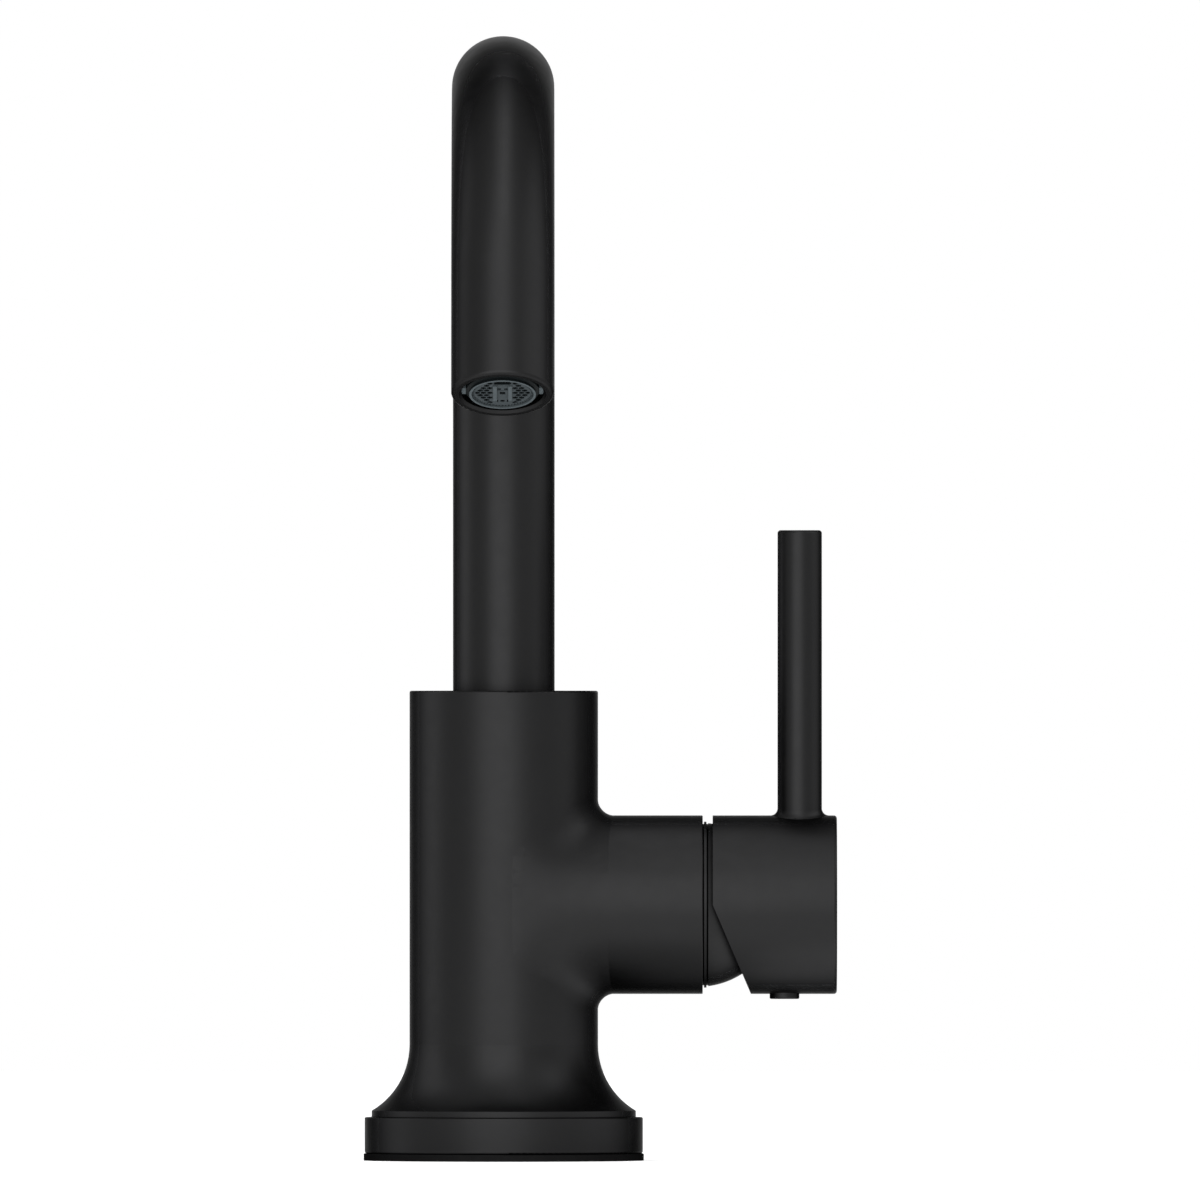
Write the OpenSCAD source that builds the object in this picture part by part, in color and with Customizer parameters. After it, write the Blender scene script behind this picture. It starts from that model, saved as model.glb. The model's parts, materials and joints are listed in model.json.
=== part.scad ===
// Single-lever basin mixer with a side lever and a high swivel spout.
// Millimetres. Z is up, the origin is the centre of the base on the deck,
// the spout reaches towards -Y and the lever stands on the +X side.

/* [Base] */
// Diameter of the sealing plate on the deck
gasket_d = 56.2; // [54:0.2:62]
// Thickness of the sealing plate
gasket_t = 1.4; // [1:0.1:3]
// Hole in the middle of the sealing plate
gasket_bore_d = 36; // [34:0.5:40]
// Diameter of the base ring
base_ring_d = 55.8; // [54:0.2:62]
// Height of the base ring
base_ring_h = 7.3; // [5:0.1:12]

/* [Body] */
// Diameter of the upright body
body_d = 37.8; // [36:0.2:42]
// Height of the body's top above the deck
body_top = 94.2; // [92:0.2:110]
// Diameter of the lip at the foot of the flare
lip_d = 53; // [50:0.2:54]
// Height of that lip
lip_h = 1.3; // [1:0.1:3]
// Radius of the concave flare above the lip
flare_r = 15.4; // [13:0.2:20]
// Rounding of the body's top edge
body_edge_r = 0.4; // [0.2:0.1:1]

/* [Neck] */
// Diameter of the side neck
neck_d = 35.8; // [35:0.2:37]
// Height of the neck's axis above the deck
neck_z = 51.3; // [48:0.1:55]
// Distance from the body's axis to the neck's face
neck_reach = 39.9; // [39:0.1:46]
// Radius of the blend between neck and body
neck_blend_r = 3.1; // [2:0.1:4]

/* [Spout] */
// Outer diameter of the spout tube
spout_d = 20.4; // [18:0.2:21]
// Wall of the spout tube
spout_wall = 1.2; // [0.8:0.1:1.6]
// Bend radius of the spout, to the middle of the tube
spout_bend_r = 65.3; // [55:0.1:75]
// Height of the highest point of the spout
spout_top = 224.8; // [205:0.2:260]
// Tilt of the outlet from straight down
outlet_tilt = 25; // [15:1:35]
// Straight length between the bend and the outlet
outlet_straight = 26.4; // [18:0.1:40]
// Half of the angle over which the spout swivels
swivel_half = 60; // [30:5:80]

/* [Lever] */
// Diameter of the lever's hub
hub_d = 35.8; // [35.8:0.2:38]
// Length of the lever's hub
hub_l = 24.9; // [24:0.1:30]
// Gap between the neck's face and the hub
hub_gap = 2; // [1.8:0.1:2.4]
// Angle of the relief cut under the hub
relief_angle = 23.2; // [22.5:0.1:26]
// Diameter of the stick
stick_d = 8.9; // [8:0.1:10]
// Height of the stick's end above the deck
stick_top = 126.4; // [110:0.2:150]
// Distance from the hub's outer end to the stick's axis
stick_inset = 7.45; // [6.6:0.05:8]
// Radius of the blend at the stick's root
stick_blend_r = 1.4; // [0.8:0.1:1.8]
// Rounding of the lever's edges
lever_edge_r = 0.6; // [0.3:0.1:1]

/* [Dome] */
// Radius of the dome under the lever
dome_r = 16.5; // [16.4:0.05:16.7]
// Wall of the dome
dome_wall = 1.2; // [1:0.1:1.3]

/* [Connections] */
// Radius of the wall of each hose inlet (M10 x 1)
inlet_r = 4.5; // [4.4:0.05:4.7]
// Depth of the threaded part of each inlet
inlet_depth = 12; // [10:0.5:14]
// Radius of the wall of the stud hole (M8)
stud_r = 3.4; // [3.2:0.05:3.6]
// Depth of the stud hole
stud_depth = 14; // [12:0.5:18]

/* [Hidden] */
$fn = 96;

// Colours
black_paint = [0.13, 0.13, 0.135];
black_plastic = [0.1, 0.1, 0.1];
grey_plastic = [0.3, 0.33, 0.34];
white_plastic = [0.85, 0.85, 0.82];
brass_colour = [0.76, 0.62, 0.33];
steel_colour = [0.68, 0.69, 0.7];
ceramic_colour = [0.92, 0.9, 0.86];
rubber_colour = [0.07, 0.07, 0.07];

// Shared clearances and overruns
cut = 1;          // how far a cutting tool runs past a face
slip = 0.05;      // radial gap of a close fit
play = 0.2;       // radial gap of a loose running fit
film = 0.02;      // gap between the ceramic discs

// Body, from the deck up
body_r = body_d / 2;
lip_r = lip_d / 2;
lip_z = gasket_t + base_ring_h;
lip_edge_r = 0.12;
lip_top = lip_z + lip_h;
flare_run = body_r + flare_r - lip_r;
flare_z = lip_top + sqrt(flare_r * flare_r - flare_run * flare_run);
spigot_r = 23;
gasket_edge_r = 0.15;
ring_edge_r = 0.3;
ring_foot_r = 0.45;
neck_r = neck_d / 2;
neck_edge_r = 0.2;
neck_blend_wrap = 88;
neck_blend_power = 4.5;
neck_blend_ease = 1.05;
neck_blend_turns = 144;
neck_blend_steps = 10;
blend_sink = 0.15;

// Inlet block in the body's foot
block_r = 13.5;
block_h = 32;
block_top = gasket_t + block_h;
recess_out_r = 20.5;
recess_in_r = 15.5;
recess_depth = 10;
inlet_x = 3;
inlet_y = 7.2;
stud_x = -7.8;
channel_r = 3.2;
outlet_way_r = 5;
block_groove_w = 2.4;
block_groove_depth = 1.4;
block_seal_r = 0.66;
block_seal_drop = 5;

// Spout socket in the body's top
tail_wall = 2.1;
tail_r = spout_d / 2 + tail_wall;
socket_r = tail_r + play;
bearing_h = 3.7;
bearing_sink = 0.4;
upper_bearing_z = body_top - bearing_sink - bearing_h;
tail_top_gap = 0.1;
tail_top = upper_bearing_z - tail_top_gap;
tail_h = 25;
tail_z = tail_top - tail_h;
lower_bearing_h = 3;
lower_bearing_gap = 0.05;
lower_bearing_bore_r = 8;
socket_z = tail_z - lower_bearing_gap - lower_bearing_h;
tail_cup_h = 9;
tail_bore_r = 7.5;
seal_groove_w = 2;
seal_groove_depth = 1.4;
tail_seal_r = 0.76;
seal_heights = [3, 7.4];
stop_height = 12.1;
stop_groove_w = 3.4;
stop_groove_depth = 1.8;
stop_screw_r = 2;
stop_tip_r = 1.5;
stop_tip_l = 2;
stop_screw_sink = 0.5;
stop_z = tail_z + stop_height;
stop_tip_gap = 0.3;
stop_inner_r = tail_r - stop_groove_depth + stop_tip_gap;
stop_slack_angle = 1.5;
stop_half_angle = swivel_half + asin((stop_tip_r + play) / stop_inner_r) + stop_slack_angle;
hex_key_af = 2;
hex_key_depth = 2;

// Spout path
spout_r = spout_d / 2;
spout_bore_r = spout_r - spout_wall;
bend_z = spout_top - spout_r - spout_bend_r;
bend_angle = 180 - outlet_tilt;
tube_z = tail_top - tail_cup_h;
rim_edge_r = 0.75;
seam_lap = 0.02;
seam_step = 0.005;

// Outlet insert and aerator, measured inwards from the outlet's rim
insert_l = 14;
insert_wall = 0.83;
insert_bore_r = spout_bore_r - insert_wall;
insert_chamfer = 0.5;
insert_shoulder = 11.5;
shoulder_bore_r = 6.6;
face_sink = 0.1;
face_r = 6.63;
face_h = 0.77;
face_wall_h = 0.5;
flange_r = 7.25;
flange_h = 1;
barrel_h = 8;
barrel_wall = 1.1;
ear_reach = insert_bore_r - slip;
ear_w = 2.7;
face_ring_w = 0.48;
slot_ring_w = 0.75;
slot_count = 58;
slot_w = 0.38;
plate_t = 0.6;
plate_sink = 0.35;
cell_af = 1.1;
cell_pitch = 1.26;
cell_keep = 0.2;
rib_x = 1.5;
rib_w = 0.75;
rib_h = 0.3;
rib_up = 3.5;
rib_down = 2.9;
oval_end_x = 1.05;
oval_r = 0.75;
oval_y = 4.4;
panel_w = 2.16;
panel_y = 1;
panel_h = 2.5;
panel_sink = 0.08;
panel_hole = [0.75, 0.7];
panel_hole_place = [0.68, 1.6];
middle_hole = [1.1, 1.2];
middle_hole_y = -0.1;
round_hole_r = 0.5;
slit = [0.25, 1.2];
slit_x = 0.97;
low_y = -3.67;
screen_t = 0.5;
screen_gap = 1.6;
screen_rim = 0.9;
screen_hole_r = 0.7;
screen_pitch = 2.2;
washer_t = insert_shoulder - face_sink - face_h - flange_h - barrel_h;

// Cartridge stack, measured along the neck from the body's axis
pivot_inset = 1;
pivot_x = neck_reach - pivot_inset;
seat_depth = 21.5;
seat_x = neck_reach - seat_depth;
bore_r = 14.2;
nut_thread_r = 15;
shell_r = bore_r - play;
shell_wall = 1.6;
shell_bore_r = shell_r - shell_wall;
base_flange_t = 1.6;
base_plate_t = 3.1;
disc_nest_h = 2;
port_y = 5.2;
port_low = 4;
port_high = 5.2;
inlet_port_r = 2.3;
outlet_port_r = 2.8;
seat_hole_r = 2.6;
seat_outlet_r = 3;
port_seal_r = 0.64;
port_seal_mid_r = 3.2;
port_recess_r = 3.95;
port_recess_depth = 2 * port_seal_r;
fixed_disc_r = 9.5;
fixed_disc_t = 2.65;
moving_disc_r = 7.8;
moving_disc_t = 2.65;
chamber_r = 5.4;
chamber_depth = 1.3;
arm_l = 8.5;
ball_r = 1.8;
ball_play = 0.15;
ball_drop = 0.3;
fixed_disc_x = seat_x + base_plate_t;
moving_disc_x = fixed_disc_x + fixed_disc_t + film;
carrier_x = moving_disc_x + moving_disc_t;
ball_x = pivot_x - arm_l;
carrier_over_ball = 0.6;
carrier_top = ball_x + carrier_over_ball;
carrier_r = 8.6;
carrier_half_w = 7.9;
guide_leg_t = 1.8;
guide_leg_half_l = 4.5;
guide_leg_y = carrier_half_w + play;
guide_leg_x = carrier_x + play;
guide_gap = 0.3;
guide_flange_x = carrier_top + guide_gap;
guide_flange_t = 1.9;
guide_flange_r = shell_bore_r - 2 * play;
guide_collar_r = 8.1;
guide_slot_half_w = 3.65;
guide_slot_half_l = 5.2;
shell_ceiling_x = guide_flange_x + guide_flange_t + play;
shell_ceiling_t = 1.6;
shell_top_x = shell_ceiling_x + shell_ceiling_t;
shell_collar_r = 10;
collar_reach = 3.5;
collar_end_x = pivot_x + collar_reach;
guide_end_x = collar_end_x + play;
pin_r = 1.5;
pin_half_l = guide_collar_r - guide_gap;
stem_w = 6.4;
stem_heel = 3.7;
stem_arm_r = 1.5;

// Nut, trim ring and dome
nut_r = nut_thread_r - slip;
nut_bore_r = shell_collar_r + play;
nut_collar_r = 14.5;
nut_slot_w = 3;
nut_slot_depth = 1.4;
trim_r = 16.65;
trim_lead_t = 0.25;
trim_t = 0.5;
trim_bore_r = nut_collar_r + slip;
trim_seat_r = 16.2;
trim_seat_t = 0.35;
trim_l = trim_lead_t + trim_t + trim_seat_t;
dome_x = neck_reach + trim_l;
dome_bore_r = nut_collar_r + slip;
dome_inner_r = dome_r - dome_wall;
dome_rim_reach = 9.6;
dome_rim_x = pivot_x + dome_rim_reach;
dome_bore_end_x = pivot_x + sqrt(dome_inner_r * dome_inner_r - dome_bore_r * dome_bore_r);
nut_collar_end_x = dome_bore_end_x - play;

// Lever
hub_r = hub_d / 2;
hub_x = neck_reach + hub_gap;
hub_end_x = hub_x + hub_l;
dome_gap = 0.3;
hub_cavity_r = dome_r + dome_gap;
hub_cavity_reach = 14.7;
hub_cavity_end_x = pivot_x + hub_cavity_reach;
stick_r = stick_d / 2;
stick_x = hub_end_x - stick_inset;
stick_blend_wrap = asin((stick_r + stick_blend_r) / (hub_r + stick_blend_r));
stick_blend_power = 2;
stick_blend_ease = 1.17;
stick_blend_turns = 48;
stick_blend_steps = 6;
socket_slip = 0.1;
socket_past_stick = 3;
socket_end_x = stick_x + socket_past_stick;
stem_end_gap = 0.4;
stem_end_x = socket_end_x - stem_end_gap;
set_screw_r = 2;
set_screw_l = 8;
set_screw_setback = 2.7;
set_screw_x = hub_cavity_end_x + set_screw_setback;
plug_r = 2.98;
plug_shank_r = 2.1;
plug_shank_l = 3.2;
plug_out = 1;
plug_sink = 0.6;
plug_edge_r = 0.3;

// Places a shape with its own Z along the neck, from the body's axis outwards
module along_neck(x = 0) {
    translate([x, 0, neck_z]) rotate([0, 90, 0]) children();
}

// Places a shape with its own Z leaving the outlet and its origin at the rim's centre
module at_outlet() {
    translate([0, -spout_bend_r, bend_z]) rotate([bend_angle, 0, 0])
        translate([0, spout_bend_r, outlet_straight]) children();
}

// A plain tube section
module pipe(r_out, r_in, h) {
    difference() {
        cylinder(r = r_out, h = h);
        translate([0, 0, -cut]) cylinder(r = r_in, h = h + 2 * cut);
    }
}

// A solid cylinder whose upper edge, lower edge or both are rounded
module soft_cylinder(r, h, top = 0, bottom = 0) {
    rotate_extrude() difference() {
        square([r, h]);
        if (top > 0) translate([r - top, h - top]) difference() {
            square([top + cut, top + cut]);
            circle(r = top);
        }
        if (bottom > 0) translate([r - bottom, bottom]) difference() {
            translate([0, -bottom - cut]) square([bottom + cut, bottom + cut]);
            circle(r = bottom);
        }
    }
}

// A ring with a round section
module o_ring(mid_r, section_r) {
    rotate_extrude() translate([mid_r, 0]) circle(r = section_r);
}

// A hexagonal hole or key of a given width across its flats
module hexagon(af, h) {
    cylinder(r = af / sqrt(3), h = h, $fn = 6);
}

// One section of a blended skin where a round bar stands on a cylinder. The bar runs along Z
// and the cylinder along X. The skin leaves the bar at the height base_r + reach. It meets the
// cylinder along an oval that stands out past the bar by reach along X and wraps the cylinder
// by the angle wrap. power squares the oval up, and ease is how long the skin keeps to the two
// surfaces it joins. The section's ends are sunk into them by blend_sink.
function blend_section(bar_r, base_r, reach, wrap, power, ease, steps, turn) =
    let (oval = pow(pow(abs(cos(turn)), power) + pow(abs(sin(turn)), power), -1 / power),
        lean = wrap * oval * sin(turn),
        bar_out = [cos(turn), sin(turn), 0],
        base_out = [0, sin(lean), cos(lean)],
        foot = [(bar_r + reach) * oval * cos(turn), 0, 0] + base_r * base_out,
        head = bar_r * bar_out + [0, 0, base_r + reach],
        pull = ease * norm(head - foot),
        foot_way = -pull * [cos(turn), sin(turn) * cos(lean), -sin(turn) * sin(lean)],
        head_way = pull * [0, 0, 1])
    concat(
        [head - blend_sink * bar_out],
        [for (i = [0:steps - 1]) let (u = 1 - (i + 0.5) / steps, w = 3 * u * u - 2 * u * u * u)
            (1 - w) * foot + w * head + u * pow(1 - u, 2) * foot_way - u * u * (1 - u) * head_way],
        [foot - blend_sink * base_out],
        [[head.x, head.y, foot.z] - blend_sink * (bar_out + base_out)]
    );

module blend_ring(bar_r, base_r, reach, wrap, power, ease, steps, turns) {
    sections = [for (i = [0:turns - 1])
        blend_section(bar_r, base_r, reach, wrap, power, ease, steps, 360 * i / turns)];
    n = len(sections[0]);
    faces = [for (i = [0:turns - 1], k = [0:n - 1])
        let (a = i * n, b = ((i + 1) % turns) * n, m = (k + 1) % n)
        each [[a + k, b + k, b + m], [a + k, b + m, a + m]]];
    polyhedron(points = [for (s = sections) each s], faces = faces, convexity = 6);
}

module body_outside() {
    difference() {
        translate([0, 0, lip_z]) soft_cylinder(lip_r, flare_z - lip_z, bottom = lip_edge_r);
        rotate_extrude() translate([body_r + flare_r, flare_z]) circle(r = flare_r);
    }
    translate([0, 0, gasket_t]) cylinder(r = spigot_r, h = lip_top - gasket_t);
    translate([0, 0, lip_top]) soft_cylinder(body_r, body_top - lip_top, top = body_edge_r);
    along_neck() soft_cylinder(neck_r, neck_reach, top = neck_edge_r);
    along_neck() blend_ring(neck_r, body_r, neck_blend_r, neck_blend_wrap, neck_blend_power,
        neck_blend_ease, neck_blend_steps, neck_blend_turns);
}

module body_casting() {
    color(black_paint) difference() {
        body_outside();
        // foot: the inlet block's bore and a lightening recess round it
        translate([0, 0, gasket_t - cut]) cylinder(r = block_r + slip, h = block_h + cut);
        translate([0, 0, gasket_t - cut]) pipe(recess_out_r, recess_in_r, recess_depth + cut);
        // spout socket and the way down to the cartridge's outlet port
        translate([0, 0, socket_z]) cylinder(r = socket_r, h = body_top);
        translate([0, 0, neck_z + port_high]) cylinder(r = outlet_way_r, h = socket_z - neck_z);
        along_neck(0) translate([-port_high, 0, 0]) cylinder(r = seat_outlet_r, h = seat_x + cut);
        // inlet ways
        for (side = [-1, 1]) {
            translate([inlet_x, side * inlet_y, block_top - cut])
                cylinder(r = channel_r, h = neck_z - port_low + channel_r - block_top);
            along_neck(inlet_x) translate([port_low, side * port_y, 0])
                cylinder(r = seat_hole_r, h = seat_x - inlet_x + cut);
        }
        // cartridge bore and the nut's thread
        along_neck(seat_x) cylinder(r = bore_r, h = seat_depth + cut);
        along_neck(shell_top_x - play) cylinder(r = nut_thread_r, h = neck_reach);
        // hole of the swivel stop screw at the back
        translate([0, 0, stop_z]) rotate([-90, 0, 0]) cylinder(r = stop_screw_r, h = body_r + cut);
    }
}

module base_ring() {
    color(black_paint) translate([0, 0, gasket_t]) difference() {
        soft_cylinder(base_ring_d / 2, base_ring_h, top = ring_edge_r, bottom = ring_foot_r);
        translate([0, 0, -cut]) cylinder(r = spigot_r + play, h = base_ring_h + 2 * cut);
    }
}

module deck_gasket() {
    color(rubber_colour) difference() {
        soft_cylinder(gasket_d / 2, gasket_t, top = gasket_edge_r);
        translate([0, 0, -cut]) cylinder(d = gasket_bore_d, h = gasket_t + 2 * cut);
    }
}

module inlet_block() {
    color(brass_colour) difference() {
        translate([0, 0, gasket_t]) cylinder(r = block_r, h = block_h);
        for (side = [-1, 1]) translate([inlet_x, side * inlet_y, gasket_t]) {
            translate([0, 0, -cut]) cylinder(r = inlet_r, h = inlet_depth + cut);
            cylinder(r = channel_r, h = block_h + cut);
        }
        translate([stud_x, 0, gasket_t - cut]) cylinder(r = stud_r, h = stud_depth + cut);
        translate([0, 0, block_top - block_seal_drop - block_groove_w / 2])
            pipe(block_r + cut, block_r - block_groove_depth, block_groove_w);
    }
}

module block_seal() {
    color(rubber_colour) translate([0, 0, block_top - block_seal_drop])
        o_ring(block_r - block_groove_depth + block_seal_r + slip, block_seal_r);
}

module swivel_stop_screw() {
    shank_end = body_r - stop_screw_sink;
    shank_start = stop_inner_r + stop_tip_l;
    color(black_paint) translate([0, 0, stop_z]) rotate([-90, 0, 0]) difference() {
        union() {
            translate([0, 0, stop_inner_r]) cylinder(r = stop_tip_r, h = stop_tip_l + cut / 2);
            translate([0, 0, shank_start])
                cylinder(r = stop_screw_r - slip, h = shank_end - shank_start);
        }
        translate([0, 0, shank_end - hex_key_depth]) hexagon(hex_key_af, hex_key_depth + cut);
    }
}

module lower_bearing_ring() {
    color(white_plastic) translate([0, 0, socket_z])
        pipe(socket_r - slip, lower_bearing_bore_r, lower_bearing_h);
}

module upper_bearing_ring() {
    color(black_plastic) translate([0, 0, upper_bearing_z])
        pipe(socket_r - slip, spout_r + slip, bearing_h);
}

// The three water ports of the cartridge, cut along its axis
module cartridge_ports(r_in, r_out, h) {
    for (side = [-1, 1]) translate([port_low, side * port_y, 0]) cylinder(r = r_in, h = h);
    translate([-port_high, 0, 0]) cylinder(r = r_out, h = h);
}

module cartridge_base() {
    color(black_plastic) along_neck(seat_x) difference() {
        union() {
            cylinder(r = shell_r, h = base_flange_t);
            cylinder(r = shell_bore_r - slip, h = base_plate_t);
            pipe(shell_bore_r - slip, fixed_disc_r + slip, base_plate_t + disc_nest_h);
        }
        translate([0, 0, -cut]) cartridge_ports(inlet_port_r, outlet_port_r, base_plate_t + 2 * cut);
        translate([0, 0, -cut])
            cartridge_ports(port_recess_r, port_recess_r, port_recess_depth + cut);
    }
}

// A seal round one of the cartridge's ports, at a place across the neck's axis
module port_seal(place) {
    color(rubber_colour) along_neck(seat_x + port_seal_r) translate(place)
        o_ring(port_seal_mid_r, port_seal_r);
}

module fixed_disc() {
    color(ceramic_colour) along_neck(fixed_disc_x) difference() {
        cylinder(r = fixed_disc_r, h = fixed_disc_t);
        translate([0, 0, -cut])
            cartridge_ports(inlet_port_r - play, outlet_port_r - play, fixed_disc_t + 2 * cut);
    }
}

module moving_disc() {
    color(ceramic_colour) along_neck(moving_disc_x) difference() {
        cylinder(r = moving_disc_r, h = moving_disc_t);
        translate([0, 0, -cut]) cylinder(r = chamber_r, h = chamber_depth + cut);
    }
}

module disc_carrier() {
    color(white_plastic) along_neck(carrier_x) difference() {
        intersection() {
            cylinder(r = carrier_r, h = carrier_top - carrier_x);
            translate([-carrier_r - cut, -carrier_half_w, -cut])
                cube([2 * carrier_r + 2 * cut, 2 * carrier_half_w, carrier_top - carrier_x + 2 * cut]);
        }
        translate([0, 0, ball_x - ball_r - ball_drop - carrier_x])
            cylinder(r = ball_r + ball_play, h = carrier_top - carrier_x);
    }
}

module stem_guide() {
    color(white_plastic) difference() {
        union() {
            along_neck(guide_flange_x) cylinder(r = guide_flange_r, h = guide_flange_t);
            along_neck(guide_flange_x) cylinder(r = guide_collar_r, h = guide_end_x - guide_flange_x);
            for (side = [0, 1]) along_neck(guide_leg_x) mirror([0, side, 0])
                translate([-guide_leg_half_l, guide_leg_y, 0])
                    cube([2 * guide_leg_half_l, guide_leg_t, guide_flange_x - guide_leg_x + cut]);
        }
        along_neck(guide_flange_x - cut) translate([-guide_slot_half_l, -guide_slot_half_w, 0])
            cube([2 * guide_slot_half_l, 2 * guide_slot_half_w, guide_end_x - guide_flange_x + 2 * cut]);
        translate([pivot_x, -guide_collar_r - cut, neck_z]) rotate([-90, 0, 0])
            cylinder(r = pin_r + film, h = 2 * guide_collar_r + 2 * cut);
    }
}

module pivot_pin() {
    color(steel_colour) translate([pivot_x, -pin_half_l, neck_z]) rotate([-90, 0, 0])
        cylinder(r = pin_r, h = 2 * pin_half_l);
}

module cartridge_housing() {
    base_x = seat_x + base_flange_t;
    color(grey_plastic) difference() {
        union() {
            along_neck(base_x) cylinder(r = shell_r, h = shell_top_x - base_x);
            along_neck(base_x) cylinder(r = shell_collar_r, h = collar_end_x - base_x);
        }
        along_neck(base_x - cut) cylinder(r = shell_bore_r, h = shell_ceiling_x - base_x + cut);
        along_neck(base_x) cylinder(r = guide_collar_r + play, h = collar_end_x - base_x + cut);
    }
}

module retaining_nut() {
    color(brass_colour) difference() {
        union() {
            along_neck(shell_top_x) cylinder(r = nut_r, h = neck_reach - shell_top_x);
            along_neck(shell_top_x) cylinder(r = nut_collar_r, h = nut_collar_end_x - shell_top_x);
        }
        along_neck(shell_top_x - cut)
            cylinder(r = nut_bore_r, h = nut_collar_end_x - shell_top_x + 2 * cut);
        for (turn = [0, 90]) along_neck(nut_collar_end_x - nut_slot_depth) rotate([0, 0, turn])
            translate([-nut_collar_r - cut, -nut_slot_w / 2, 0])
                cube([2 * nut_collar_r + 2 * cut, nut_slot_w, nut_slot_depth + cut]);
    }
}

module trim_ring() {
    color(black_paint) along_neck(neck_reach) difference() {
        union() {
            cylinder(r = trim_seat_r, h = trim_l);
            translate([0, 0, trim_lead_t]) cylinder(r = trim_r, h = trim_t);
        }
        translate([0, 0, -cut]) cylinder(r = trim_bore_r, h = trim_l + 2 * cut);
    }
}

module dome_cap() {
    foot = dome_x - pivot_x;
    color(black_paint) along_neck(pivot_x) rotate_extrude() difference() {
        intersection() {
            circle(r = dome_r);
            translate([0, foot]) square([dome_r + cut, dome_rim_x - dome_x]);
        }
        circle(r = dome_inner_r);
        square([dome_bore_r, dome_bore_end_x - pivot_x]);
    }
}

module lever_stem() {
    color(steel_colour) difference() {
        union() {
            along_neck(pivot_x - stem_heel) translate([-stem_w / 2, -stem_w / 2, 0])
                cube([stem_w, stem_w, stem_end_x - pivot_x + stem_heel]);
            along_neck(ball_x) cylinder(r = stem_arm_r, h = arm_l - stem_heel + cut / 2);
            translate([ball_x, 0, neck_z]) sphere(r = ball_r);
        }
        translate([pivot_x, -stem_w, neck_z]) rotate([-90, 0, 0])
            cylinder(r = pin_r + slip, h = 2 * stem_w);
    }
}

module lever_handle() {
    relief_l = hub_d;
    color(black_paint) difference() {
        union() {
            along_neck(hub_x) soft_cylinder(hub_r, hub_l, top = lever_edge_r);
            translate([stick_x, 0, neck_z]) soft_cylinder(stick_r, stick_top - neck_z, top = lever_edge_r);
            translate([stick_x, 0, neck_z]) blend_ring(stick_r, hub_r, stick_blend_r, stick_blend_wrap,
                stick_blend_power, stick_blend_ease, stick_blend_steps, stick_blend_turns);
        }
        along_neck(hub_x - cut) cylinder(r = hub_cavity_r, h = hub_cavity_end_x - hub_x + cut);
        along_neck(hub_cavity_end_x - cut)
            translate([-stem_w / 2 - socket_slip, -stem_w / 2 - socket_slip, 0])
                cube([stem_w + 2 * socket_slip, stem_w + 2 * socket_slip,
                    socket_end_x - hub_cavity_end_x + cut]);
        // relief that lets the hub tilt towards the neck
        translate([hub_x, -hub_r - cut, neck_z]) rotate([0, -relief_angle, 0])
            translate([-relief_l, 0, -relief_l]) cube([relief_l, hub_d + 2 * cut, relief_l]);
        // set screw hole, the plug's shank hole and its shallow seat
        translate([set_screw_x, 0, neck_z - hub_r - cut]) {
            cylinder(r = set_screw_r + slip, h = hub_r + cut);
            cylinder(r = plug_shank_r + slip, h = cut + plug_shank_l + plug_sink + play);
            cylinder(r = plug_r + slip, h = cut + plug_sink);
        }
    }
}

module lever_set_screw() {
    screw_top = neck_z - stem_w / 2 - slip;
    color(steel_colour) translate([set_screw_x, 0, screw_top - set_screw_l]) difference() {
        cylinder(r = set_screw_r, h = set_screw_l);
        translate([0, 0, -cut]) hexagon(hex_key_af, hex_key_depth + cut);
    }
}

module index_plug() {
    color(black_plastic) translate([set_screw_x, 0, neck_z - hub_r - plug_out]) {
        soft_cylinder(plug_r, plug_out + plug_sink, bottom = plug_edge_r);
        cylinder(r = plug_shank_r, h = plug_out + plug_sink + plug_shank_l);
    }
}

// The spout's path as a solid bar of radius r, from height z round to the outlet's rim.
// The straight end laps over the bend's end by a hair, so that the two are one solid.
module spout_path(r, z, edge = 0, past = 0) {
    translate([0, 0, z]) cylinder(r = r, h = bend_z - z);
    translate([0, -spout_bend_r, bend_z]) rotate([0, 90, 0]) rotate([0, 0, 90])
        rotate_extrude(angle = bend_angle) translate([spout_bend_r, 0]) circle(r = r);
    at_outlet() translate([0, 0, -outlet_straight - seam_lap])
        soft_cylinder(r + seam_step, outlet_straight + seam_lap + past, top = edge);
}

module spout_tube() {
    color(black_paint) difference() {
        spout_path(spout_r, tube_z, edge = rim_edge_r);
        spout_path(spout_bore_r, tube_z - cut, past = cut);
    }
}

module spout_tail() {
    color(brass_colour) translate([0, 0, tail_z]) difference() {
        cylinder(r = tail_r, h = tail_h);
        translate([0, 0, -cut]) cylinder(r = tail_bore_r, h = tail_h + 2 * cut);
        translate([0, 0, tail_h - tail_cup_h]) cylinder(r = spout_r + slip, h = tail_cup_h + cut);
        for (h = seal_heights) translate([0, 0, h - seal_groove_w / 2])
            pipe(tail_r + cut, tail_r - seal_groove_depth, seal_groove_w);
        // the stop groove faces the back and spans the swivel
        translate([0, 0, stop_height - stop_groove_w / 2]) rotate([0, 0, 90 - stop_half_angle])
            rotate_extrude(angle = 2 * stop_half_angle)
                translate([tail_r - stop_groove_depth, 0]) square([stop_groove_depth + cut, stop_groove_w]);
    }
}

module tail_o_ring(h) {
    color(rubber_colour) translate([0, 0, tail_z + h])
        o_ring(tail_r - seal_groove_depth + tail_seal_r + film, tail_seal_r);
}

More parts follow.
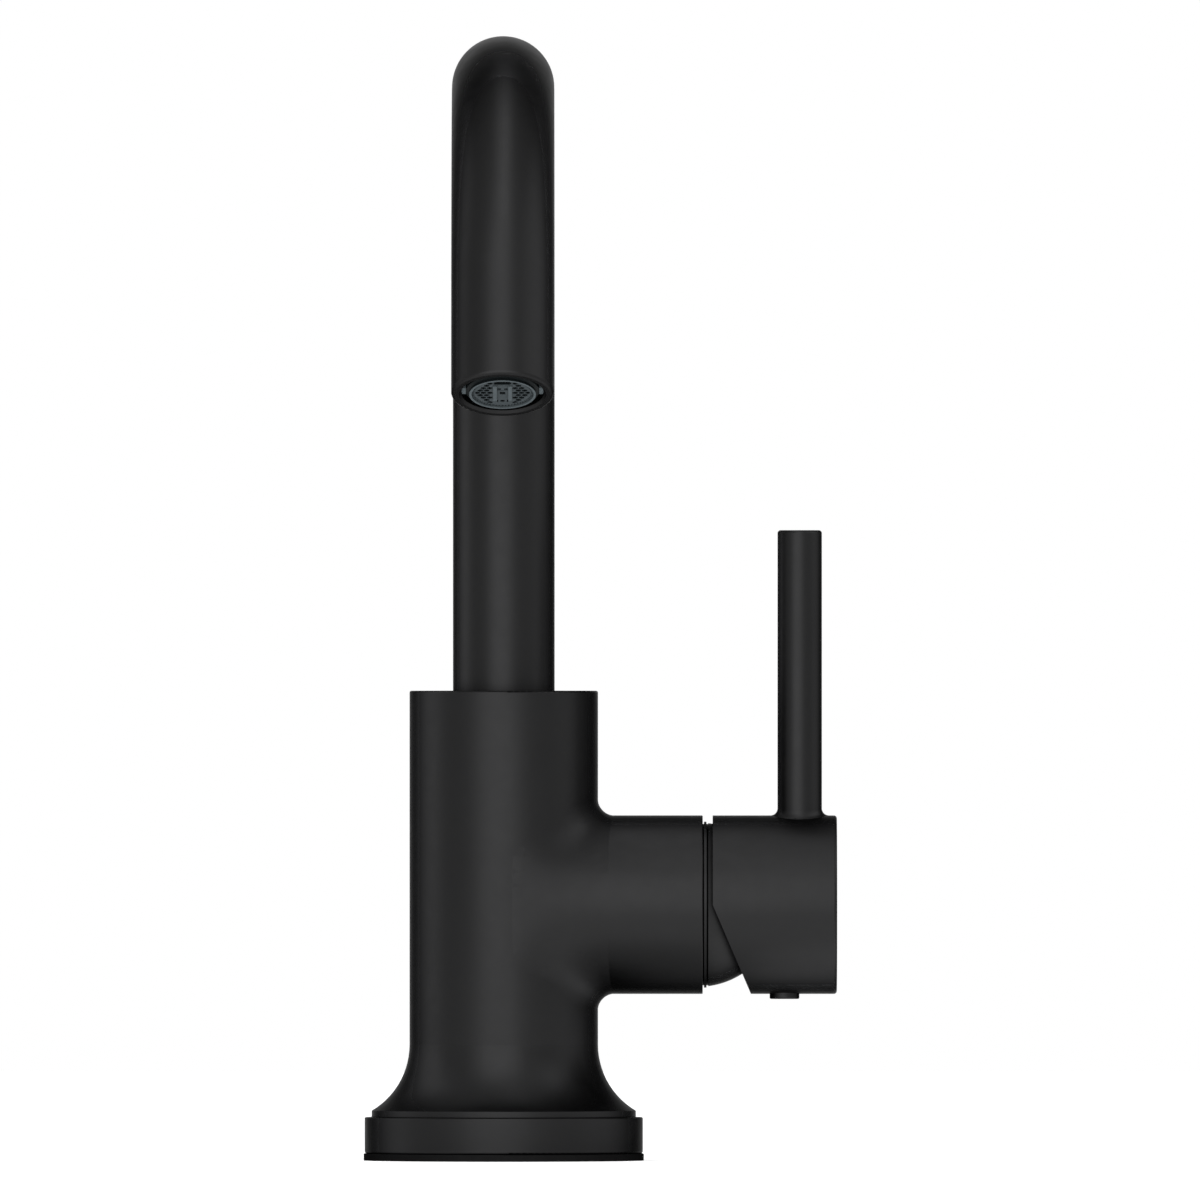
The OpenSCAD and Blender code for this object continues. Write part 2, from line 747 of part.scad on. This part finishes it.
module outlet_insert() {
    color(black_paint) at_outlet() translate([0, 0, -insert_l]) difference() {
        cylinder(r = spout_bore_r - film, h = insert_l);
        translate([0, 0, -cut]) cylinder(r = shoulder_bore_r, h = insert_l);
        translate([0, 0, insert_l - insert_shoulder]) cylinder(r = insert_bore_r, h = insert_l);
        translate([0, 0, insert_l - insert_chamfer])
            cylinder(r1 = insert_bore_r, r2 = insert_bore_r + insert_chamfer, h = insert_chamfer);
    }
}

// One cell of a grid, centred on a hexagonal lattice
function cell_place(pitch, i, k) = [(i + (k % 2 == 0 ? 0 : 0.5)) * pitch, k * pitch * sqrt(3) / 2];

// A rectangular hole through the face plate, centred on a place
module plate_hole(size, place, h) {
    translate([place.x - size.x / 2, place.y - size.y / 2, 0]) cube([size.x, size.y, h]);
}

// Everything that is cut through the face plate, to a height h
module face_holes(h) {
    grid_r = face_r - face_ring_w - slot_ring_w;
    strip_half_w = rib_x + rib_w / 2;
    rows = ceil(grid_r / cell_pitch) + 1;
    slot_r = grid_r + slot_ring_w / 2;
    // grid of hexagonal cells on both sides of the plain strip, trimmed where it ends
    for (side = [0, 1]) intersection() {
        cylinder(r = grid_r, h = h);
        mirror([side, 0, 0]) translate([strip_half_w, -grid_r, 0]) cube([grid_r, 2 * grid_r, h]);
        for (k = [-rows:rows], i = [-rows:rows]) {
            p = cell_place(cell_pitch, i, k);
            if (norm(p) < grid_r - cell_keep && (side == 0 ? p.x : -p.x) > strip_half_w + cell_keep)
                translate([p.x, p.y, 0]) rotate([0, 0, 30]) hexagon(cell_af, h);
        }
    }
    // ring of small radial slots, left out beside the oval hole
    for (turn = [for (n = [0:slot_count - 1]) 360 * (n + 0.5) / slot_count])
        if (turn > 180 || abs(slot_r * cos(turn)) > strip_half_w + slot_w) rotate([0, 0, turn])
            translate([grid_r + slot_w / 2, -slot_w / 2, 0]) cube([slot_ring_w - slot_w / 2, slot_w, h]);
    // oval hole, square holes, round hole and slits of the plain strip
    plate_hole([2 * oval_end_x, 2 * oval_r], [0, oval_y], h);
    plate_hole(middle_hole, [0, middle_hole_y], h);
    translate([0, low_y, 0]) cylinder(r = round_hole_r, h = h);
    for (side = [-1, 1]) {
        translate([side * oval_end_x, oval_y, 0]) cylinder(r = oval_r, h = h);
        plate_hole(panel_hole, [side * panel_hole_place.x, panel_hole_place.y], h);
        plate_hole(slit, [side * slit_x, low_y], h);
    }
}

module aerator_housing() {
    face_z = -face_sink - face_h;
    plate_z = -face_sink - plate_sink;
    color(grey_plastic) at_outlet() difference() {
        union() {
            translate([0, 0, face_z])
                cylinder(r1 = flange_r - slip, r2 = face_r, h = face_h - face_wall_h);
            translate([0, 0, face_z - flange_h]) cylinder(r = face_r, h = flange_h + face_h);
            translate([0, 0, face_z - flange_h]) cylinder(r = flange_r, h = flange_h);
            intersection() {
                translate([0, 0, face_z - flange_h]) cylinder(r = ear_reach, h = flange_h);
                translate([-ear_reach - cut, -ear_w / 2, face_z - flange_h])
                    cube([2 * ear_reach + 2 * cut, ear_w, flange_h]);
            }
            translate([0, 0, face_z - flange_h - barrel_h])
                cylinder(r = insert_bore_r - slip, h = barrel_h);
        }
        // the hollow of the face, leaving the raised ring and the two ribs standing
        difference() {
            translate([0, 0, plate_z]) cylinder(r = face_r - face_ring_w, h = cut);
            for (side = [-1, 1]) translate([side * rib_x - rib_w / 2, -rib_down, face_z])
                cube([rib_w, rib_up + rib_down, face_h - plate_sink + rib_h]);
        }
        translate([-panel_w / 2, panel_y, plate_z - panel_sink]) cube([panel_w, panel_h, cut]);
        // the chamber behind the face plate
        translate([0, 0, face_z - flange_h - barrel_h - cut])
            cylinder(r = insert_bore_r - barrel_wall, h = barrel_h + cut);
        translate([0, 0, face_z - flange_h - cut])
            cylinder(r = face_r - face_ring_w / 2, h = flange_h + cut + face_h - plate_sink - plate_t);
        translate([0, 0, plate_z - plate_t - cut]) face_holes(plate_t + 2 * cut);
    }
}

// Sieve number n behind the face plate, with the rim that spaces it from the one before
module aerator_screen(n) {
    screen_r = insert_bore_r - barrel_wall - slip;
    first = -face_sink - face_h - flange_h - screen_t;
    rows = ceil(screen_r / screen_pitch);
    color(steel_colour) at_outlet() translate([0, 0, first - n * (screen_t + screen_gap)]) difference() {
        union() {
            cylinder(r = screen_r, h = screen_t);
            if (n > 0) pipe(screen_r, screen_r - screen_rim, screen_t + screen_gap);
        }
        for (k = [-rows:rows], i = [-rows:rows]) {
            p = cell_place(screen_pitch, i, k);
            if (norm(p) + screen_hole_r < screen_r - screen_rim)
                translate([p.x, p.y, -cut]) cylinder(r = screen_hole_r, h = screen_t + 2 * cut);
        }
    }
}

module aerator_seal() {
    color(rubber_colour) at_outlet() translate([0, 0, -insert_shoulder])
        pipe(insert_bore_r - slip, shoulder_bore_r, washer_t);
}

body_casting();
base_ring();
deck_gasket();
inlet_block();
block_seal();
swivel_stop_screw();
lower_bearing_ring();
upper_bearing_ring();
cartridge_base();
port_seal([port_low, port_y, 0]);  // hot_port_seal
port_seal([port_low, -port_y, 0]);  // cold_port_seal
port_seal([-port_high, 0, 0]);  // outlet_port_seal
fixed_disc();
cartridge_housing();
retaining_nut();
trim_ring();
dome_cap();
stem_guide();
pivot_pin();
disc_carrier();
moving_disc();
lever_stem();
lever_handle();
lever_set_screw();
index_plug();
spout_tube();
spout_tail();
tail_o_ring(seal_heights[0]);  // lower_tail_seal
tail_o_ring(seal_heights[1]);  // upper_tail_seal
outlet_insert();
aerator_housing();
aerator_screen(0);  // mixing_screen
aerator_screen(1);  // middle_screen
aerator_screen(2);  // inner_screen
aerator_seal();
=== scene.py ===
"""Matte black single-lever basin mixer: finish, floor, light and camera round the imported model."""
import json
import math

import bpy
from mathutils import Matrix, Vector

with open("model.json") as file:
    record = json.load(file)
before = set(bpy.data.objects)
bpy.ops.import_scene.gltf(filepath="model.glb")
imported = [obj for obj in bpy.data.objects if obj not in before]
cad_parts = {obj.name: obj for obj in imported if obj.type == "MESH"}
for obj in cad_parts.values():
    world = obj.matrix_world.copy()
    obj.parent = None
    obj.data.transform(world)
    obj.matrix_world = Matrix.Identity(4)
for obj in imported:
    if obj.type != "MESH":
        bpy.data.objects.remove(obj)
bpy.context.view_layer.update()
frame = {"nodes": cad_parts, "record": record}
nodes = frame["nodes"]

MM = 0.001

# Sizes and places that the part's source gives
BODY_RADIUS = 18.9 * MM
NECK_RADIUS = 17.9 * MM
NECK_HEIGHT = 51.3 * MM
STICK_RADIUS = 4.45 * MM
STICK_PLACE = 59.35 * MM
OUTLET_TILT = math.radians(25)


class Tree:
    """A node tree built up call by call. Each operand is a node's output or a plain value."""

    def __init__(self, tree):
        self.tree = tree

    def feed(self, target, value):
        if isinstance(value, bpy.types.NodeSocket):
            self.tree.links.new(value, target)
        elif value is not None:
            target.default_value = value

    def add(self, kind, *operands, output=None, **settings):
        """A new node's output, the first or the named one. Its usable inputs are fed in their order."""
        made = self.tree.nodes.new(kind)
        for name, value in settings.items():
            setattr(made, name, value)
        for target, value in zip((i for i in made.inputs if i.enabled), operands):
            self.feed(target, value)
        return next(o for o in made.outputs if o.enabled and output in (None, o.name))

    def vector(self, operation, *operands):
        return self.add("ShaderNodeVectorMath", *operands, operation=operation)

    def number(self, operation, *operands):
        return self.add("ShaderNodeMath", *operands, operation=operation)

    def ramp(self, source, low, high, start=0.0, end=1.0):
        """low where source is start or less, high where it is end or more, and even between."""
        return self.add("ShaderNodeMapRange", source, start, end, low, high)

    def seen(self):
        """1 for the rays that show a surface to the eye: camera, glossy and transmission rays."""
        rays = self.tree.nodes.new("ShaderNodeLightPath").outputs
        straight_or_glossy = self.number("MAXIMUM", rays["Is Camera Ray"], rays["Is Glossy Ray"])
        return self.number("MAXIMUM", straight_or_glossy, rays["Is Transmission Ray"])


class Shader(Tree):
    """The node tree of one material, round its Principled shader."""

    def __init__(self, name, **values):
        self.material = bpy.data.materials.new(name)
        self.material.use_nodes = True
        super().__init__(self.material.node_tree)
        self.place = self.add("ShaderNodeTexCoord", output="Object")
        self.set(**values)

    def set(self, **values):
        """Feeds the Principled shader's sockets of those names, underscores standing for spaces."""
        for name, value in values.items():
            self.feed(self.tree.nodes["Principled BSDF"].inputs[name.replace("_", " ")], value)

    def noise(self, size, detail=2.0):
        """Noise whose largest lumps are about size metres across."""
        return self.add("ShaderNodeTexNoise", self.place, 1 / size, detail)

    def vary(self, noise, low, high):
        """A number between low and high that follows the noise."""
        return self.ramp(noise, low, high, start=0.3, end=0.7)

    def colour(self, share, first, second):
        """A colour between first and second."""
        mixed = self.add("ShaderNodeMix", share, (*first, 1), (*second, 1), data_type="RGBA")
        self.set(Base_Color=mixed)

    def roughness(self, noise, low, high):
        self.set(Roughness=self.vary(noise, low, high))

    def relief(self, noise, depth, strength):
        """Fine relief, depth metres deep."""
        made = self.tree.nodes.new("ShaderNodeBump")
        self.feed(made.inputs["Strength"], strength)
        self.feed(made.inputs["Distance"], depth)
        self.feed(made.inputs["Height"], noise)
        self.set(Normal=made.outputs["Normal"])


def dull_black(name, edge_tint):
    """A metallic shader, because its tint is what keeps the reflection at the edges low."""
    return Shader(name, Metallic=1.0, Specular_Tint=(edge_tint, edge_tint, edge_tint, 1))


def paint(name):
    """The matte black paint, still without its colour."""
    s = dull_black(name, edge_tint=0.36)
    s.roughness(s.noise(3 * MM, detail=3), low=0.38, high=0.42)
    s.relief(s.noise(0.35 * MM, detail=3), depth=0.004 * MM, strength=0.6)
    return s


def black_paint():
    s = paint("black_paint")
    s.colour(s.noise(9 * MM), (0.0166, 0.0166, 0.0169), (0.0176, 0.0176, 0.0179))
    return s.material


def trim_paint():
    """The black paint, with painted shade that darkens the bottoms of the trim ring's two narrow
    grooves.
    """
    groove_bottom, groove_side = 16.25 * MM, 16.35 * MM
    s = paint("trim_paint")
    from_neck_axis = s.vector("MULTIPLY", s.vector("SUBTRACT", s.place, (0, 0, NECK_HEIGHT)), (0, 1, 1))
    groove_shade = s.ramp(s.vector("LENGTH", from_neck_axis), 1, 0, start=groove_bottom, end=groove_side)
    # The near-black second colour is painted shade at the groove bottoms, not a colour of the paint.
    s.colour(groove_shade, (0.0171, 0.0171, 0.0174), (0.0008, 0.0008, 0.0008))
    return s.material


def rubber():
    s = dull_black("rubber", edge_tint=0.1)
    s.colour(s.noise(4 * MM), (0.0085, 0.0085, 0.0087), (0.01, 0.01, 0.0102))
    s.roughness(s.noise(1 * MM, detail=4), low=0.6, high=0.7)
    s.relief(s.noise(0.2 * MM, detail=3), depth=0.01 * MM, strength=0.5)
    return s.material


def black_plastic():
    s = dull_black("black_plastic", edge_tint=0.12)
    s.colour(s.noise(5 * MM), (0.0155, 0.0155, 0.0157), (0.0175, 0.0175, 0.0177))
    s.roughness(s.noise(1.5 * MM, detail=3), low=0.36, high=0.44)
    s.relief(s.noise(0.3 * MM, detail=3), depth=0.004 * MM, strength=0.4)
    return s.material


def white_plastic():
    s = Shader("white_plastic", IOR=1.45)
    s.colour(s.noise(5 * MM), (0.76, 0.76, 0.72), (0.8, 0.8, 0.77))
    s.roughness(s.noise(1.5 * MM, detail=3), low=0.35, high=0.45)
    s.relief(s.noise(0.3 * MM, detail=3), depth=0.004 * MM, strength=0.4)
    return s.material


def outlet_frame():
    """The outlet's axis, pointing out of it, and the middle of its rim."""
    out = Vector((0, -math.sin(OUTLET_TILT), -math.cos(OUTLET_TILT)))
    up = Vector((0, -math.cos(OUTLET_TILT), math.sin(OUTLET_TILT)))
    places = [v.co for v in nodes["outlet_insert"].data.vertices]
    along = [p.dot(out) for p in places]
    across = [p.dot(up) for p in places]
    return out, out * max(along) + up * (min(across) + max(across)) / 2


def aerator_plastic_painted_shade():
    """Blue-grey plastic, light on the face and the ears, with painted shade that darkens the cells and
    the wall.
    """
    s = Shader("grey_plastic", IOR=1.1)
    out, rim = outlet_frame()
    from_rim = s.vector("SUBTRACT", s.place, rim)
    height = s.vector("DOT_PRODUCT", from_rim, out)
    radius = s.vector("LENGTH", s.vector("SUBTRACT", from_rim, s.vector("SCALE", out, height)))
    sideways = s.vector("LENGTH", s.vector("MULTIPLY", from_rim, (1, 0, 0)))
    # Painted shade: dark in the cells below the face, and darker with depth just under the bars.
    above_cell_shade = s.ramp(height, 0, 1, start=-0.68 * MM, end=-0.56 * MM)
    less_shade_towards_bars = s.ramp(height, 0.6, 1, start=-0.4 * MM, end=-0.2 * MM)
    # Painted shade on the wall outside the face, except on the ears.
    on_face = s.ramp(radius, 1, 0, start=6.6 * MM, end=6.62 * MM)
    on_ears = s.ramp(sideways, 0, 1, start=7.26 * MM, end=7.3 * MM)
    face = s.number("MULTIPLY", s.number("MULTIPLY", above_cell_shade, less_shade_towards_bars), on_face)
    uneven = s.vary(s.noise(2 * MM, detail=3), low=0.9, high=1.0)
    # light is the share left without painted shade.
    light = s.number("MULTIPLY", s.number("MAXIMUM", face, on_ears), uneven)
    # The dark colour is painted shade; the light one is the plastic's own colour.
    s.colour(light, (0.006, 0.0078, 0.0085), (0.076, 0.091, 0.098))
    s.roughness(s.noise(1.5 * MM, detail=3), low=0.42, high=0.52)
    s.relief(s.noise(0.3 * MM, detail=3), depth=0.004 * MM, strength=0.4)
    return s.material


def ceramic():
    s = Shader("ceramic", IOR=1.7)
    s.colour(s.noise(3 * MM, detail=4), (0.82, 0.8, 0.74), (0.88, 0.86, 0.8))
    s.roughness(s.noise(0.6 * MM, detail=4), low=0.14, high=0.24)
    s.relief(s.noise(0.15 * MM), depth=0.002 * MM, strength=0.3)
    return s.material


def metal(name, first, second, low, high):
    """Machined metal with fine tool marks. Its roughness is between low and high."""
    s = Shader(name, Metallic=1.0)
    s.colour(s.noise(6 * MM, detail=3), first, second)
    s.roughness(s.noise(0.8 * MM, detail=4), low, high)
    s.relief(s.noise(0.25 * MM), depth=0.006 * MM, strength=0.5)
    return s.material


def dress_nodes():
    """Gives every CAD node the finish of its slot in the record, and the trim ring its own, with
    painted shade in its grooves.
    """
    finishes = {
        "black_paint": black_paint(),
        "rubber": rubber(),
        "brass": metal("brass", (0.64, 0.47, 0.2), (0.71, 0.54, 0.26), low=0.24, high=0.38),
        "steel": metal("steel", (0.55, 0.56, 0.57), (0.63, 0.64, 0.65), low=0.22, high=0.34),
        "ceramic": ceramic(),
        "black_plastic": black_plastic(),
        "white_plastic": white_plastic(),
        "grey_plastic": aerator_plastic_painted_shade(),
    }
    for part in frame["record"]["subparts"]:
        slots = nodes[part["node"]].data.materials
        slots.clear()
        slots.append(finishes[part["material_slot"]])
    # The trim ring's own material has painted shade in its grooves.
    nodes["trim_ring"].data.materials[0] = trim_paint()


class Skin(Tree):
    """The geometry tree of one modifier."""

    def __init__(self, name):
        super().__init__(bpy.data.node_groups.new(name, "GeometryNodeTree"))
        for way in ("INPUT", "OUTPUT"):
            self.tree.interface.new_socket("Geometry", in_out=way, socket_type="NodeSocketGeometry")
        self.whole = self.add("NodeGroupInput")
        self.place = self.add("GeometryNodeInputPosition")
        self.normal = self.add("GeometryNodeInputNormal", output="Normal")

    def switch(self, share, first, second):
        return self.add("GeometryNodeSwitch", share, first, second, input_type="VECTOR")

    def no_facet(self):
        """1 on faces that are shaded smooth already, or square to an axis as real flats are."""
        high_power, nearly_one = (40, 40, 40), 0.996
        flat = self.vector("ABSOLUTE", self.add("GeometryNodeInputNormal", output="True Normal"))
        squareness = self.vector("DOT_PRODUCT", self.vector("POWER", flat, high_power), (1, 1, 1))
        square = self.number("GREATER_THAN", squareness, nearly_one)
        either = self.number("MAXIMUM", square, self.add("GeometryNodeInputShadeSmooth"))
        return self.add("GeometryNodeFieldOnDomain", either, domain="FACE")

    def mean_normal(self, left_out):
        """The mean normal of the facets that meet at a point."""
        same_point = 0.002 * MM
        facets = self.add("GeometryNodeSeparateGeometry", self.whole, left_out,
                          output="Inverted", domain="FACE")
        facets = self.add("GeometryNodeMergeByDistance", facets, None, same_point)
        facets = self.add("GeometryNodeRemoveAttribute", facets, "custom_normal")
        facets = self.add("GeometryNodeSetShadeSmooth", facets, True, True, domain="FACE")
        nearest = self.add("GeometryNodeSampleNearest", facets, domain="POINT")
        return self.add("GeometryNodeSampleIndex", facets, self.normal, nearest,
                        data_type="FLOAT_VECTOR", domain="POINT")

    def round_face(self, middle, axis, radius, elsewhere):
        """The outward normal of a round face where a point lies on it, and elsewhere off it."""
        tolerance = 0.01 * MM
        out = self.vector("SUBTRACT", self.place, middle)
        out = self.vector("SUBTRACT", out, self.vector("PROJECT", out, axis))
        gap = self.number("ABSOLUTE", self.number("SUBTRACT", self.vector("LENGTH", out), radius))
        off = self.number("GREATER_THAN", gap, tolerance)
        return self.switch(off, self.vector("NORMALIZE", out), elsewhere)


def smooth_blends():
    """Shades the facets of the blended skins like the smooth surface they follow. No point moves."""
    body = (0, 0, 0), (0, 0, 1), BODY_RADIUS
    neck = (0, 0, NECK_HEIGHT), (1, 0, 0), NECK_RADIUS
    stick = (STICK_PLACE, 0, 0), (0, 0, 1), STICK_RADIUS
    for name, round_faces in (("body_casting", (neck, body)), ("lever_handle", (stick, neck))):
        skin = Skin(name + "_skin")
        no_facet = skin.no_facet()
        blend = skin.mean_normal(no_facet)
        for middle, axis, radius in round_faces:
            blend = skin.round_face(middle, axis, radius, blend)
        wanted = skin.switch(no_facet, blend, skin.normal)
        shaded = skin.add("GeometryNodeSetMeshNormal", skin.whole, wanted, mode="FREE", domain="CORNER")
        skin.feed(skin.tree.nodes.new("NodeGroupOutput").inputs[0], shaded)
        nodes[name].modifiers.new("smooth_blend", "NODES").node_group = skin.tree


def world_light(level):
    """Even light of the given level, and a white background where it is seen."""
    world = bpy.data.worlds.new("studio")
    bpy.context.scene.world = world
    world.use_nodes = True
    tree = Tree(world.node_tree)
    background = world.node_tree.nodes["Background"]
    tree.feed(background.inputs["Color"], (1, 1, 1, 1))
    tree.feed(background.inputs["Strength"], tree.ramp(tree.seen(), level, 1.0))


def floor():
    """Pale floor at deck height, white where lit and greyer in the object's shadow."""
    half = 2.0
    mesh = bpy.data.meshes.new("floor")
    corners = [(-half, -half, 0), (half, -half, 0), (half, half, 0), (-half, half, 0)]
    mesh.from_pydata(corners, [], [(0, 1, 2, 3)])
    s = Shader("floor", Base_Color=(0.85, 0.85, 0.85, 1), Roughness=0.9, Emission_Color=(1, 1, 1, 1))
    glow = s.ramp(s.vector("LENGTH", s.place), 0.5, 1.0, start=0.1, end=1.0)
    s.set(Emission_Strength=s.number("MULTIPLY", glow, s.seen()))
    mesh.materials.append(s.material)
    piece = bpy.data.objects.new("floor", mesh)
    bpy.context.scene.collection.objects.link(piece)


def lamp(name, place, facing, width, height, level):
    """Square-on area lamp that shines along facing and looks level times as bright as white."""
    data = bpy.data.lights.new(name, "AREA")
    data.shape = "RECTANGLE"
    data.size, data.size_y = width, height
    data.energy = level * math.pi * width * height
    piece = bpy.data.objects.new(name, data)
    piece.location = place
    piece.rotation_euler = (-Vector(facing)).to_track_quat("Z", "Y").to_euler()
    piece.visible_camera = False
    bpy.context.scene.collection.objects.link(piece)


def softbox(name, azimuth, distance, width, low, high, level):
    """Upright lamp beside the object, its azimuth counted from the camera towards +X."""
    object_x = 0.01
    turn = math.radians(azimuth)
    away = Vector((math.sin(turn), -math.cos(turn), 0))
    middle = Vector((object_x, 0, (low + high) / 2))
    lamp(name, middle + away * distance, -away, width, high - low, level)


def lamps():
    """Softboxes round the object, lamps above it, and two on the deck that light it from below."""
    softbox("front_light", azimuth=-7, distance=0.53, width=0.53, low=0.0, high=0.58, level=1.6)
    softbox("front_fill", azimuth=-9, distance=0.37, width=0.26, low=0.0, high=0.62, level=1.05)
    softbox("left_light", azimuth=-104, distance=0.46, width=0.31, low=0.0, high=0.58, level=2.1)
    softbox("right_light", azimuth=89, distance=0.4, width=0.29, low=0.0, high=0.55, level=0.6)
    softbox("right_upper_light", azimuth=75, distance=0.4, width=0.5, low=0.2, high=0.6, level=1.0)
    down, up = (0, 0, -1), (0, 0, 1)
    lamp("top_light", (0.01, -0.05, 0.46), down, width=0.08, height=0.48, level=3.2)
    lamp("front_top_light", (0.0, -0.3, 0.5), (0, 0.5, -0.86), width=0.25, height=0.14, level=1.1)
    lamp("back_top_light", (0.01, 0.3, 0.42), (0, -0.7, -0.7), width=0.3, height=0.3, level=0.7)
    lamp("deck_light", (0.02, -0.11, 0.003), up, width=0.26, height=0.12, level=0.8)
    lamp("under_light", (0.085, -0.008, 0.003), up, width=0.07, height=0.08, level=1.4)


def camera():
    """Level long-lens camera whose frame is 240 mm wide at the middle of the visible depth."""
    distance = 10.667
    frame_width = 0.24
    aim = Vector((0.0193, -0.03, 0.1124))
    data = bpy.data.cameras.new("camera")
    data.sensor_width = 36.0
    data.lens = data.sensor_width * distance / frame_width
    data.clip_start, data.clip_end = 1.0, 40.0
    piece = bpy.data.objects.new("camera", data)
    piece.location = aim + Vector((0, -distance, 0))
    piece.rotation_euler = (math.radians(90), 0, 0)
    bpy.context.scene.collection.objects.link(piece)
    bpy.context.scene.camera = piece


dress_nodes()
smooth_blends()
world_light(level=0.25)
floor()
lamps()
camera()
bpy.context.scene.view_settings.view_transform = "Standard"
